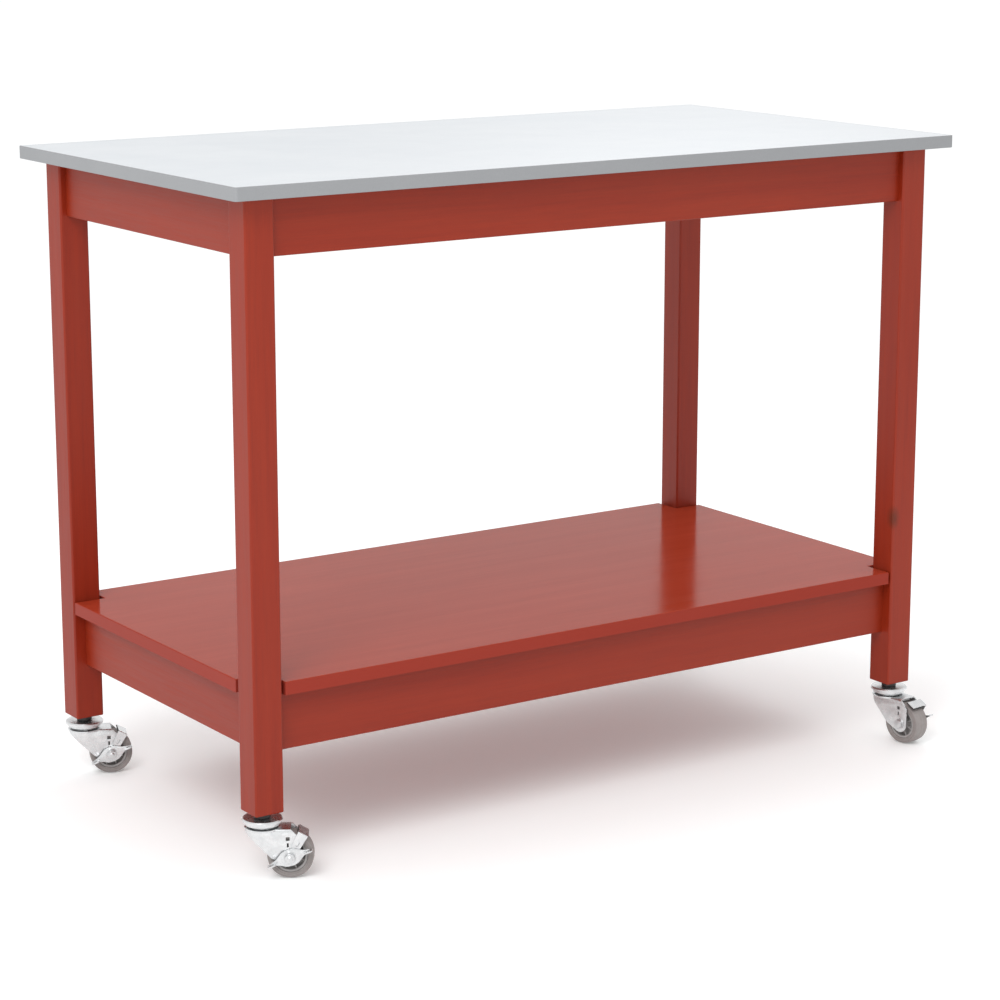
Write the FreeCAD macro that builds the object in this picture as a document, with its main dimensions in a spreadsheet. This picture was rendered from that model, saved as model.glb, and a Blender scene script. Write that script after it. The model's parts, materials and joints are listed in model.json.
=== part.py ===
import FreeCAD, Part
import math
import os
import Sketcher

Vector = FreeCAD.Vector
Rotation = FreeCAD.Rotation
Placement = FreeCAD.Placement

doc = FreeCAD.newDocument("worktable")

# Driving dimensions in millimetres and degrees. The table stands on z = 0 with its centre on the origin,
# +X along its length, -Y towards the front.
sizes = (
    ("topLength", 1200),
    ("topWidth", 630),
    ("topThick", 18),
    ("topCorner", 5),
    ("bandThick", 2),
    ("sheetThick", 0.8),
    ("overhang", 28),
    ("legSize", 43),
    ("legLength", 816),
    ("legRound", 3),
    ("woodRound", 1.5),
    ("apronHeight", 78),
    ("apronInset", 10),
    ("railHeight", 80),
    ("railInset", 18),
    ("railThick", 20),
    ("shelfTop", 268),
    ("shelfThick", 18),
    ("shelfGap", 5),
    ("tenonThick", 8),
    ("tenonHeight", 32),
    ("tenonLength", 25),
    ("tenonEdge", 4),
    ("glueGap", 0.2),
    ("bracketLeg", 26),
    ("bracketWidth", 22),
    ("bracketSheet", 2),
    ("screwHead", 4),
    ("screwShank", 2),
    ("screwLength", 13),
    ("screwReach", 15),
    ("screwDome", 2.4),
    ("screwPoint", 2),
    ("crossLength", 4.4),
    ("crossWidth", 1),
    ("crossDepth", 1.2),
    ("casterHeight", 90),
    ("collarHeight", 8.5),
    ("collarRadius", 11),
    ("stemRadius", 6),
    ("stemLength", 38),
    ("stemBore", 42),
    ("pinRadius", 5),
    ("plateRadius", 27.5),
    ("plateLip", 1.5),
    ("pinGap", 0.08),
    ("pinRoom", 1.2),
    ("cupRadius", 24),
    ("cupBottom", 18),
    ("crownRadius", 24.5),
    ("crownTop", 20.5),
    ("metal", 2.5),
    ("forkWidth", 33),
    ("noseInset", 1.5),
    ("noseHeight", 5),
    ("noseRun", 12),
    ("forkCorner", 12),
    ("cheekRound", 8.25),
    ("bellyDrop", 46),
    ("cutReach", 85),
    ("windowSize", 5),
    ("windowBack", 3),
    ("windowDrop", 34),
    ("raceInner", 14),
    ("raceOuter", 16.8),
    ("raceHeight", 5.5),
    ("rivetRadius", 9),
    ("rivetHeight", 2.8),
    ("trail", 37),
    ("wheelRadius", 31.5),
    ("wheelWidth", 26),
    ("rimRadius", 23),
    ("hubWidth", 27),
    ("hubBoss", 10.5),
    ("hubWeb", 3),
    ("rimDepth", 3),
    ("rimStep", 1.6),
    ("runGap", 0.06),
    ("tyreChamfer", 1.2),
    ("tyreCrown", 1),
    ("treadRound", 4),
    ("bushRadius", 6),
    ("axleRadius", 4),
    ("nutFlats", 13),
    ("bossRadius", 13),
    ("leverReach", 30),
    ("leverTilt", 22),
    ("leverSheet", 2),
    ("leverGap", 2.3),
    ("leverHalf", 11),
    ("leverNeck", 4),
    ("tabLength", 12),
    ("tabDepth", 9),
    ("tabRound", 3),
    ("spacerRadius", 7.5),
    ("spacerLength", 2),
    ("headHeight", 5.3),
    ("nutHeight", 6.5),
    ("nutGap", 0.4),
    ("boltEnd", 2.5),
    ("shoeAngle", 61),
    ("shoeLift", 2.4),
    ("shoeSheet", 1.5),
    ("shoeGap", 0.35),
    ("shoeHalf", 7),
    ("shoeFoot", 13),
    ("slotLow", 19),
    ("slotLength", 3.5),
    ("slotRadius", 2.2),
    ("padHalf", 8.5),
    ("padSkin", 1.2),
    ("padRound", 1),
    ("ballRadius", 2.1),
    ("ballCircle", 19.2),
    ("ballDrop", 14.6),
    ("ballCount", 18),
)
dims = doc.addObject("Spreadsheet::Sheet", "dims")
for row, (alias, value) in enumerate(sizes, 1):
    dims.set("A%d" % row, alias)
    dims.set("B%d" % row, str(value))
    dims.setAlias("B%d" % row, alias)
doc.recompute()


def size(alias):
    return float(dims.get(alias))


# Corners of the table: name, sign along X, sign along Y, the caster's swivel angle, its brake lever's side.
corners = (
    ("front_left", -1, -1, -33, -1),
    ("front_right", 1, -1, -82, 1),
    ("rear_left", -1, 1, -22, -1),
    ("rear_right", 1, 1, 82, -1),
)
legX = size("topLength") / 2 - size("overhang") - size("legSize") / 2
legY = size("topWidth") / 2 - size("overhang") - size("legSize") / 2
parts = []
groups = []


def newBody(label):
    body = doc.addObject("PartDesign::Body", label)
    parts.append(body)
    return body


def newSketch(body, name, role, lift="0"):
    sketch = body.newObject("Sketcher::SketchObject", body.Name + "_" + name)
    plane = next(item for item in body.Origin.OriginFeatures if item.Role == role)
    sketch.AttachmentSupport = [(plane, "")]
    sketch.MapMode = "FlatFace"
    sketch.setExpression(".AttachmentOffset.Base.z", lift)
    return sketch


def pin(sketch, geometry, point, x, y):
    for kind, value in (("DistanceX", x), ("DistanceY", y)):
        index = sketch.addConstraint(Sketcher.Constraint(kind, geometry, point, 1.0))
        sketch.setExpression("Constraints[%d]" % index, value)


def polygon(sketch, points):
    # a closed outline whose corners are pinned to pairs of expressions
    count = len(points)
    first = sketch.GeometryCount
    angles = [math.tau * i / count for i in range(count)]
    ring = [Vector(math.cos(angle), math.sin(angle)) for angle in angles]
    for i in range(count):
        sketch.addGeometry(Part.LineSegment(ring[i], ring[(i + 1) % count]), False)
    for i in range(count):
        following = first + (i + 1) % count
        sketch.addConstraint(Sketcher.Constraint("Coincident", first + i, 2, following, 1))
    for i, (x, y) in enumerate(points):
        pin(sketch, first + i, 1, x, y)


def rectangle(sketch, left, low, right, high):
    polygon(sketch, ((left, low), (right, low), (right, high), (left, high)))


def circle(sketch, x, y, radius):
    index = sketch.addGeometry(Part.Circle(Vector(1, 1, 0), Vector(0, 0, 1), 1.0), False)
    pin(sketch, index, 3, x, y)
    bound = sketch.addConstraint(Sketcher.Constraint("Radius", index, 1.0))
    sketch.setExpression("Constraints[%d]" % bound, radius)


def extrude(body, sketch, length, cut=False, middle=False, back=False):
    kind = "PartDesign::Pocket" if cut else "PartDesign::Pad"
    feature = body.newObject(kind, sketch.Name + ("_pocket" if cut else "_pad"))
    feature.Profile = sketch
    feature.setExpression("Length", length)
    feature.SideType = "Symmetric" if middle else "One side"
    feature.Reversed = back


def turn(body, name, profile):
    # revolves pairs of (radius, height) round the body's Z axis
    sketch = newSketch(body, name, "XZ_Plane")
    polygon(sketch, profile)
    feature = body.newObject("PartDesign::Revolution", sketch.Name + "_turn")
    feature.Profile = sketch
    feature.ReferenceAxis = (sketch, ["V_Axis"])
    feature.Angle = 360


def soften(body, name, radius, test):
    # rounds the edges of the body's last feature that pass the test
    doc.recompute()
    base = body.Tip
    chosen = ["Edge%d" % (i + 1) for i, edge in enumerate(base.Shape.Edges) if test(edge)]
    if not chosen:
        raise RuntimeError(body.Name + " has no edge to round for " + name)
    feature = body.newObject("PartDesign::Fillet", body.Name + "_" + name)
    feature.Base = (base, chosen)
    feature.setExpression("Radius", radius)


def runsAlong(edge, axis):
    if edge.Curve.TypeId != "Part::GeomLine":
        return False
    way = edge.Vertexes[-1].Point - edge.Vertexes[0].Point
    return abs(abs(way.normalize().dot(axis)) - 1) < 1e-6


def cutBox(body, name, centre, extents):
    box = body.newObject("PartDesign::SubtractiveBox", body.Name + "_" + name)
    for side, extent in zip(("Length", "Width", "Height"), extents):
        box.setExpression(side, extent)
    for letter, middle, extent in zip("xyz", centre, extents):
        box.setExpression("Placement.Base." + letter, "(%s) - (%s) / 2" % (middle, extent))


def drill(body, name, start, axis, radius, depth):
    # a round hole from start along axis
    hole = body.newObject("PartDesign::SubtractiveCylinder", body.Name + "_" + name)
    hole.setExpression("Radius", radius)
    hole.setExpression("Height", depth)
    hole.Placement = Placement(Vector(0, 0, 0), Rotation(Vector(0, 0, 1), axis))
    for letter, value in zip("xyz", start):
        hole.setExpression("Placement.Base." + letter, value)


xAxis = Vector(1, 0, 0)
yAxis = Vector(0, 1, 0)
zAxis = Vector(0, 0, 1)

# Brackets stand at these places along a rail, as a share of the worktop's length from the table's centre.
longShares = (-0.33, 0, 0.33)
shortShares = (0,)
holeRadius = "dims.screwShank + dims.glueGap / 2"


# Worktop
def makePanel(label, bottom, thickness):
    body = newBody(label)
    sketch = newSketch(body, "outline", "XY_Plane", bottom)
    halfLength = "dims.topLength / 2 - dims.bandThick"
    halfWidth = "dims.topWidth / 2 - dims.bandThick"
    rectangle(sketch, "-(%s)" % halfLength, "-(%s)" % halfWidth, halfLength, halfWidth)
    extrude(body, sketch, thickness)
    soften(body, "corners", "dims.topCorner - dims.bandThick", lambda edge: runsAlong(edge, zAxis))
    return body


worktopBottom = "dims.casterHeight + dims.legLength"
worktopTop = worktopBottom + " + dims.topThick"
core = makePanel("worktop_core", worktopBottom + " + dims.sheetThick", "dims.topThick - 2 * dims.sheetThick")
backing = makePanel("worktop_backing", worktopBottom, "dims.sheetThick")
makePanel("worktop_laminate", worktopTop + " - dims.sheetThick", "dims.sheetThick")


def makeBand():
    body = newBody("worktop_edge_band")
    outer = newSketch(body, "outer", "XY_Plane", worktopBottom)
    rectangle(outer, "-dims.topLength / 2", "-dims.topWidth / 2", "dims.topLength / 2", "dims.topWidth / 2")
    extrude(body, outer, "dims.topThick")
    soften(body, "corners", "dims.topCorner", lambda edge: runsAlong(edge, zAxis))
    inner = newSketch(body, "inner", "XY_Plane", worktopBottom)
    halfLength = "dims.topLength / 2 - dims.bandThick"
    halfWidth = "dims.topWidth / 2 - dims.bandThick"
    rectangle(inner, "-(%s)" % halfLength, "-(%s)" % halfWidth, halfLength, halfWidth)
    extrude(body, inner, "dims.topThick", cut=True, back=True)
    reach = size("topLength") / 2 - size("bandThick")
    soften(body, "seat", "dims.topCorner - dims.bandThick",
           lambda edge: runsAlong(edge, zAxis) and abs(abs(edge.CenterOfMass.x) - reach) < 0.01)
    outside = size("topWidth") / 2
    soften(body, "arris", "dims.bandThick / 3",
           lambda edge: runsAlong(edge, xAxis) and abs(abs(edge.CenterOfMass.y) - outside) < 0.01)


makeBand()


# Legs, aprons and rails
# Each end of a frame member is a stub tenon. Long members have theirs high and short members low, so that
# the two mortises of a leg pass one above the other.
def makeLeg(name, signX, signY):
    body = newBody("leg_" + name)
    sketch = newSketch(body, "section", "XY_Plane")
    half = "dims.legSize / 2"
    rectangle(sketch, "-" + half, "-" + half, half, half)
    extrude(body, sketch, "dims.legLength")
    soften(body, "arrises", "dims.legRound", lambda edge: runsAlong(edge, zAxis))
    soften(body, "foot", "dims.woodRound", lambda edge: abs(edge.CenterOfMass.z) < 0.01)
    depth = "dims.tenonLength + 1"
    thick = "dims.tenonThick + dims.glueGap"
    height = "dims.tenonHeight + dims.glueGap"
    apronLow = "dims.legLength - dims.apronHeight"
    railLow = "dims.shelfTop - dims.shelfThick - dims.railHeight - dims.casterHeight"
    members = (("apron", "dims.apronInset", apronLow, "dims.apronHeight"),
               ("rail", "dims.railInset", railLow, "dims.railHeight"))
    for member, inset, base, memberHeight in members:
        across = "(dims.legSize / 2 - %s - dims.railThick / 2)" % inset
        inward = "(dims.legSize / 2 - dims.tenonLength / 2)"
        high = "%s + %s - dims.tenonEdge - dims.tenonHeight / 2" % (base, memberHeight)
        low = "%s + dims.tenonEdge + dims.tenonHeight / 2" % base
        longPlace = ("%d * %s" % (-signX, inward), "%d * %s" % (signY, across), high)
        shortPlace = ("%d * %s" % (signX, across), "%d * %s" % (-signY, inward), low)
        cutBox(body, member + "_long_mortise", longPlace, (depth, thick, height))
        cutBox(body, member + "_short_mortise", shortPlace, (thick, depth, height))
    drill(body, "stem_bore", ("0", "0", "0"), zAxis, "dims.stemRadius + dims.glueGap / 2", "dims.stemBore")
    body.Placement = Placement(Vector(signX * legX, signY * legY, size("casterHeight")), Rotation())


def makeMember(label, span, height, tenonBase, shares, placement):
    # a rail with its outer face on y = 0 and its tenons along X
    body = newBody(label)
    board = newSketch(body, "board", "YZ_Plane")
    rectangle(board, "0", "0", "dims.railThick", height)
    extrude(body, board, span, middle=True)
    soften(body, "arrises", "dims.woodRound",
           lambda edge: runsAlong(edge, xAxis) and edge.CenterOfMass.y < 0.01)
    tenon = newSketch(body, "tenon", "YZ_Plane")
    side = "(dims.railThick - dims.tenonThick) / 2"
    rectangle(tenon, side, tenonBase, "dims.railThick - " + side, "%s + dims.tenonHeight" % tenonBase)
    extrude(body, tenon, "%s + 2 * dims.tenonLength - 2 * dims.glueGap" % span, middle=True)
    for number, share in enumerate(shares, 1):
        drill(body, "pilot%d" % number,
              ("%g * dims.topLength" % share, "dims.railThick", "%s - dims.screwReach" % height),
              -yAxis, holeRadius, "dims.screwLength + 1")
    body.Placement = placement


def makeMembers(kind, height, inset, base):
    longSpan = "dims.topLength - 2 * dims.overhang - 2 * dims.legSize"
    shortSpan = "dims.topWidth - 2 * dims.overhang - 2 * dims.legSize"
    faceX = size("topLength") / 2 - size("overhang") - inset
    faceY = size("topWidth") / 2 - size("overhang") - inset
    high = "%s - dims.tenonEdge - dims.tenonHeight" % height
    low = "dims.tenonEdge"
    sides = (("front", longSpan, high, longShares, 0, -faceY, 0),
             ("rear", longSpan, high, longShares, 0, faceY, 180),
             ("left", shortSpan, low, shortShares, -faceX, 0, -90),
             ("right", shortSpan, low, shortShares, faceX, 0, 90))
    for side, span, tenonBase, shares, x, y, turned in sides:
        placement = Placement(Vector(x, y, base), Rotation(zAxis, turned))
        makeMember("%s_%s" % (kind, side), span, height, tenonBase, shares, placement)


for name, signX, signY, swivel, leverSide in corners:
    makeLeg(name, signX, signY)
apronBase = size("casterHeight") + size("legLength") - size("apronHeight")
railBase = size("shelfTop") - size("shelfThick") - size("railHeight")
makeMembers("apron", "dims.apronHeight", size("apronInset"), apronBase)
makeMembers("rail", "dims.railHeight", size("railInset"), railBase)


# Shelf board, notched round the legs
def makeShelf():
    body = newBody("shelf_board")
    sketch = newSketch(body, "outline", "XY_Plane", "dims.shelfTop - dims.shelfThick")
    farX = "(dims.topLength / 2 - dims.overhang)"
    farY = "(dims.topWidth / 2 - dims.overhang)"
    nearX = "(%s - dims.legSize - dims.shelfGap)" % farX
    nearY = "(%s - dims.legSize - dims.shelfGap)" % farY
    quarter = ((farX, nearY), (nearX, nearY), (nearX, farY))
    outline = []
    for signX, signY in ((1, 1), (-1, 1), (-1, -1), (1, -1)):
        step = quarter if signX * signY > 0 else quarter[::-1]
        outline += [("%d * %s" % (signX, x), "%d * %s" % (signY, y)) for x, y in step]
    polygon(sketch, outline)
    extrude(body, sketch, "dims.shelfThick")
    top = size("shelfTop")
    soften(body, "arrises", "dims.woodRound", lambda edge: abs(edge.CenterOfMass.z - top) < 0.01)
    return body


shelf = makeShelf()


# Steel angle brackets under the worktop and the shelf
def bracketSpots(inset):
    # the foot of each bracket's bend: x, y and its turn about Z, where 0 has the rail on the -Y side
    spots = []
    innerX = size("topLength") / 2 - size("overhang") - inset - size("railThick")
    innerY = size("topWidth") / 2 - size("overhang") - inset - size("railThick")
    for share in longShares:
        spots.append((share * size("topLength"), -innerY, 0))
        spots.append((share * size("topLength"), innerY, 180))
    for share in shortShares:
        spots.append((-innerX, share * size("topLength"), -90))
        spots.append((innerX, share * size("topLength"), 90))
    return spots


def makeBracket():
    body = doc.addObject("PartDesign::Body", "bracket_pattern")
    sketch = newSketch(body, "angle", "YZ_Plane")
    reach = "dims.bracketLeg"
    sheet = "dims.bracketSheet"
    polygon(sketch, (("0", "0"), ("0", "-" + reach), (sheet, "-" + reach), (sheet, "-" + sheet),
                     (reach, "-" + sheet), (reach, "0")))
    extrude(body, sketch, "dims.bracketWidth", middle=True)
    thin = size("bracketSheet")
    soften(body, "bend", "dims.bracketSheet / 2",
           lambda edge: runsAlong(edge, xAxis) and edge.CenterOfMass.Length < 0.01)
    soften(body, "ends", "dims.bracketSheet * 2",
           lambda edge: edge.Length < thin + 0.01 and not runsAlong(edge, xAxis)
           and max(edge.CenterOfMass.y, -edge.CenterOfMass.z) > size("bracketLeg") - 1)
    through = "3 * dims.bracketSheet"
    drill(body, "wood_hole", ("0", "-" + sheet, "-dims.screwReach"), yAxis, holeRadius, through)
    drill(body, "board_hole", ("0", "dims.screwReach", sheet), -zAxis, holeRadius, through)
    return body


def makeScrew():
    # a pan head on z = 0 with its shank up +Z
    body = doc.addObject("PartDesign::Body", "screw_pattern")
    dome = "-dims.screwDome"
    turn(body, "profile", (("0", dome), ("dims.screwHead * 0.7", dome + " * 0.9"),
                           ("dims.screwHead", dome + " / 3"), ("dims.screwHead", "0"), ("dims.screwShank", "0"),
                           ("dims.screwShank", "dims.screwLength - dims.screwPoint + dims.bracketSheet"),
                           ("0", "dims.screwLength + dims.bracketSheet")))
    middle = "%s + dims.crossDepth / 2" % dome
    long, wide, deep = ("dims.crossLength", "dims.crossWidth", "dims.crossDepth")
    cutBox(body, "cross_long", ("0", "0", middle), (long, wide, deep))
    cutBox(body, "cross_short", ("0", "0", middle), (wide, long, deep))
    return body


def group(label, shapes):
    feature = doc.addObject("Part::Feature", label)
    feature.Shape = Part.makeCompound(shapes)
    groups.append(feature)


bracket = makeBracket()
screw = makeScrew()
levels = (("worktop_brackets", size("casterHeight") + size("legLength"), size("apronInset")),
          ("shelf_brackets", size("shelfTop") - size("shelfThick"), size("railInset")))
for label, height, inset in levels:
    spots = bracketSpots(inset)
    for board in ((core, backing) if label == "worktop_brackets" else (shelf,)):
        depth = "dims.sheetThick" if board is backing else "dims.screwLength + 1"
        start = height + (size("sheetThick") if board is core else 0)
        for number, (x, y, turned) in enumerate(spots, 1):
            reach = Rotation(zAxis, turned).multVec(Vector(0, size("screwReach"), 0))
            spot = tuple("%.3f" % value for value in (x + reach.x, y + reach.y, start))
            drill(board, "pilot%d" % number, spot, zAxis, holeRadius, depth)
doc.recompute()
screws = []
for label, height, inset in levels:
    placed = []
    for x, y, turned in bracketSpots(inset):
        seat = Placement(Vector(x, y, height), Rotation(zAxis, turned))
        placed.append(bracket.Shape.transformed(seat.toMatrix()))
        thin = size("bracketSheet")
        reach = size("screwReach")
        upward = seat * Placement(Vector(0, reach, -thin), Rotation())
        inward = seat * Placement(Vector(0, thin, -reach), Rotation(zAxis, -yAxis))
        screws += [screw.Shape.transformed(one.toMatrix()) for one in (upward, inward)]
    group(label, placed)
group("bracket_screws", screws)


# Casters
# A caster's own frame has the swivel axis on Z, the leg's end on z = 0 and the wheel trailing along +X.
# The axle's frame has the axle on Y.
axleDrop = size("casterHeight") - size("wheelRadius")
axlePlace = Placement(Vector(size("trail"), 0, -axleDrop), Rotation())
tilted = {
    "lever": axlePlace * Placement(Vector(), Rotation(yAxis, -size("leverTilt"))),
    "shoe": axlePlace * Placement(Vector(), Rotation(yAxis, 90 - size("shoeAngle"))),
}
halfFork = "dims.forkWidth / 2"


def makePlate(label):
    # the pressed top plate with its turned-down rim, and the ball cup under it
    body = newBody(label)
    top = "-dims.collarHeight"
    under = "-(dims.collarHeight + dims.metal)"
    wall = "dims.cupRadius - dims.metal"
    hole = "dims.pinRadius + dims.pinRoom"
    lip = "dims.plateRadius - dims.plateLip"
    turn(body, "section", ((hole, top), (lip, top), ("dims.plateRadius", top + " - dims.plateLip"),
                           ("dims.plateRadius", under + " - dims.plateLip"), (lip, under + " - dims.plateLip"),
                           (lip, under), ("dims.cupRadius", under),
                           ("dims.cupRadius", "dims.metal / 2 - dims.cupBottom"),
                           ("dims.cupRadius - dims.metal / 2", "-dims.cupBottom"), (wall, "-dims.cupBottom"),
                           (wall, under), (hole, under)))
    return body


def makeFork(label):
    # pressed steel: a box open below and behind, rounded in front, under a round crown with its ball ring
    body = newBody(label)
    top = "-dims.crownTop"
    front = "-(dims.crownRadius - dims.noseInset)"
    axleZ = "-(dims.casterHeight - dims.wheelRadius)"
    rear = "dims.trail + dims.bossRadius"
    side = newSketch(body, "side", "XZ_Plane")
    heel = ("dims.trail - dims.bossRadius * 0.46", axleZ + " - dims.bossRadius * 0.888")
    polygon(side, ((front, top), (rear + " - dims.forkCorner", top), (rear, top + " - dims.forkCorner"),
                   (rear, axleZ), heel, ("dims.noseRun", axleZ + " - dims.metal"),
                   (front, top + " - dims.noseHeight")))
    extrude(body, side, "dims.forkWidth", middle=True)
    boss = newSketch(body, "boss", "XZ_Plane")
    circle(boss, "dims.trail", axleZ, "dims.bossRadius")
    extrude(body, boss, "dims.forkWidth", middle=True)
    outside = size("forkWidth") / 2
    soften(body, "wrap", "dims.cheekRound",
           lambda edge: abs(abs(edge.CenterOfMass.y) - outside) < 0.01 and edge.CenterOfMass.x < 0
           and edge.CenterOfMass.z < -size("crownTop") - 0.1 and edge.Curve.TypeId == "Part::GeomLine")
    inner = top + " - dims.metal"
    innerFront = front + " + dims.metal * 0.6"
    past = rear + " + dims.metal"
    cutter = doc.addObject("PartDesign::Body", label + "_hollow")
    inside = newSketch(cutter, "inside", "XZ_Plane")
    polygon(inside, ((innerFront, inner), (past, inner), (past, "-dims.cutReach"),
                     ("%s + dims.cutReach + (%s)" % (innerFront, inner), "-dims.cutReach")))
    extrude(cutter, inside, "dims.forkWidth - 2 * dims.metal", middle=True)
    deepest = size("cutReach") - 0.1
    soften(cutter, "round", "dims.cheekRound - dims.metal",
           lambda edge: not runsAlong(edge, yAxis) and edge.CenterOfMass.x < size("trail") / 2
           and -deepest < edge.CenterOfMass.z < -size("crownTop") - size("metal") - 0.1)
    hollow = body.newObject("PartDesign::Boolean", label + "_hollowed")
    hollow.Type = "Cut"
    hollow.Group = [cutter]
    belly = newSketch(body, "belly", "XZ_Plane")
    rectangle(belly, front + " - dims.metal", "-dims.cutReach", past, "-dims.bellyDrop")
    extrude(body, belly, "dims.forkWidth - 2 * dims.metal", cut=True, middle=True)
    pinHole = "dims.pinRadius + dims.pinGap"
    raceTop = top + " + dims.raceHeight"
    turn(body, "crown", ((pinHole, top), ("dims.raceInner", top), ("dims.raceInner", raceTop),
                         ("dims.raceOuter", raceTop), ("dims.raceOuter", top), ("dims.crownRadius", top),
                         ("dims.crownRadius", inner), (pinHole, inner)))
    drill(body, "kingpin_hole", ("0", "0", inner + " - dims.metal"), zAxis, pinHole, "dims.noseRun")
    drill(body, "axle_hole", ("dims.trail", "-dims.forkWidth", axleZ), yAxis, "dims.axleRadius + dims.runGap",
          "2 * dims.forkWidth")
    cutBox(body, "window", ("dims.trail - dims.windowBack", "0", "-dims.windowDrop"),
           ("dims.windowSize", "2 * dims.forkWidth", "dims.windowSize"))
    return body


def makeHub(label):
    # turned round its own Z axis, which lies along the axle
    body = newBody(label)
    bore = "dims.bushRadius + dims.runGap"
    face = "dims.hubWidth / 2"
    boss = "dims.hubBoss"
    web = "dims.hubWeb"
    step = "dims.rimStep"
    lip = "dims.wheelWidth / 2 - dims.rimStep"
    rim = "dims.rimRadius"
    inside = "dims.rimRadius - dims.rimDepth"
    upper = ((bore, face), (boss, face), (boss + " + dims.runGap * 10", "%s + %s" % (web, step)),
             ("%s + %s" % (boss, step), web), ("%s - %s" % (inside, step), web),
             (inside + " - dims.runGap * 10", "%s + %s" % (web, step)), (inside, lip), (rim, lip))
    lower = tuple((radius, "-(%s)" % height) for radius, height in upper[::-1])
    turn(body, "section", upper + lower)
    return body


def makeTyre(label):
    body = newBody(label)
    wide = "dims.wheelWidth / 2"
    rim = "dims.rimRadius + dims.runGap"
    shoulder = "dims.wheelRadius - dims.tyreCrown"
    upper = ((rim, wide + " - dims.tyreChamfer"), (rim + " + dims.tyreChamfer", wide), (shoulder, wide),
             ("dims.wheelRadius", "0"))
    lower = tuple((radius, "-(%s)" % height) for radius, height in upper[-2::-1])
    turn(body, "section", upper + lower)
    reach = size("wheelRadius") - size("tyreCrown")
    soften(body, "tread", "dims.treadRound", lambda edge: edge.Curve.TypeId == "Part::GeomCircle"
           and abs(edge.Curve.Radius - reach) < 0.01)
    return body


def makeLever(label, side):
    # a flat rocker on the axle with a foot tab turned out at each end
    body = newBody(label)
    inner = "(%s + dims.leverGap)" % halfFork
    reach = "dims.leverReach"
    half = "dims.leverHalf"
    neck = "dims.leverNeck"
    edge = "dims.leverSheet / 2"
    plate = newSketch(body, "plate", "XZ_Plane", "%d * %s" % (-side, inner))
    upper = ((reach, edge), (reach + " * 0.62", neck), (half + " * 0.7", half), (half + " * -0.7", half),
             (reach + " * -0.62", neck), ("-" + reach, edge))
    lower = tuple((x, "-" + y) for x, y in upper[::-1])
    polygon(plate, upper + lower)
    extrude(body, plate, "dims.leverSheet", back=side > 0)
    for end, sign in (("rear", 1), ("front", -1)):
        tab = newSketch(body, end + "_tab", "XZ_Plane", "%d * %s" % (-side, inner))
        far = "%d * (%s + dims.leverSheet)" % (sign, reach)
        near = "%d * (%s + dims.leverSheet - dims.tabLength)" % (sign, reach)
        rectangle(tab, near, "-" + edge, far, edge)
        extrude(body, tab, "dims.leverSheet + dims.tabDepth", back=side > 0)
    outermost = size("forkWidth") / 2 + size("leverGap") + size("leverSheet") + size("tabDepth") / 2
    soften(body, "tab_corners", "dims.tabRound",
           lambda edge: edge.Length < size("leverSheet") + 0.01 and runsAlong(edge, zAxis)
           and abs(edge.CenterOfMass.y) > outermost)
    drill(body, "pivot", ("0", "-2 * dims.forkWidth", "0"), yAxis, "dims.axleRadius + dims.runGap",
          "4 * dims.forkWidth")
    return body


def makeShoe(label, side):
    # a strip beside the fork, its far end bent over the tread; the strip points along +Z from the axle
    body = newBody(label)
    base = "%d * (%s + dims.shoeGap)" % (-side, halfFork)
    tabLow = "dims.wheelRadius + dims.shoeLift + dims.padSkin"
    tabHigh = tabLow + " + dims.shoeSheet"
    half = "dims.shoeHalf"
    foot = "(dims.shoeHalf - 1)"
    arm = newSketch(body, "arm", "XZ_Plane", base)
    polygon(arm, (("-" + foot, "dims.shoeFoot"), (foot, "dims.shoeFoot"), (half, tabLow), (half, tabHigh),
                  ("-" + half, tabHigh), ("-" + half, tabLow)))
    extrude(body, arm, "dims.shoeSheet", back=side > 0)
    tab = newSketch(body, "tab", "XZ_Plane", base)
    rectangle(tab, "-" + half, tabLow, half, tabHigh)
    extrude(body, tab, "dims.forkWidth - 3 * dims.shoeGap - 2 * dims.shoeSheet", back=side < 0)
    outer = size("forkWidth") / 2 + size("shoeGap") + size("shoeSheet")
    soften(body, "bend", "dims.shoeSheet * 0.9",
           lambda edge: runsAlong(edge, xAxis) and abs(abs(edge.CenterOfMass.y) - outer) < 0.01
           and edge.CenterOfMass.z > size("wheelRadius"))
    through = "4 * dims.forkWidth"
    outside = "-2 * dims.forkWidth"
    for name, height in (("slot_low", "dims.slotLow"), ("slot_high", "dims.slotLow + dims.slotLength")):
        drill(body, name, ("0", outside, height), yAxis, "dims.slotRadius", through)
    cutBox(body, "slot_middle", ("0", "0", "dims.slotLow + dims.slotLength / 2"),
           ("2 * dims.slotRadius", through, "dims.slotLength"))
    return body


def makePad(label, side):
    # a rubber sleeve on the shoe's tab, inside the fork's width
    body = newBody(label)
    low = "dims.wheelRadius + dims.shoeLift"
    high = low + " + dims.shoeSheet + 2 * dims.padSkin"
    sketch = newSketch(body, "section", "XZ_Plane")
    rectangle(sketch, "-dims.padHalf", low, "dims.padHalf", high)
    extrude(body, sketch, "dims.hubWidth - dims.shoeGap", middle=True)
    soften(body, "round", "dims.padRound", lambda edge: runsAlong(edge, yAxis))
    middle = low + " + dims.padSkin + dims.shoeSheet / 2"
    cutBox(body, "sleeve", ("0", "%d * dims.shoeSheet / 2" % side, middle),
           ("2 * dims.shoeHalf", "dims.forkWidth + 4 * dims.shoeSheet", "dims.shoeSheet"))
    return body


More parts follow.
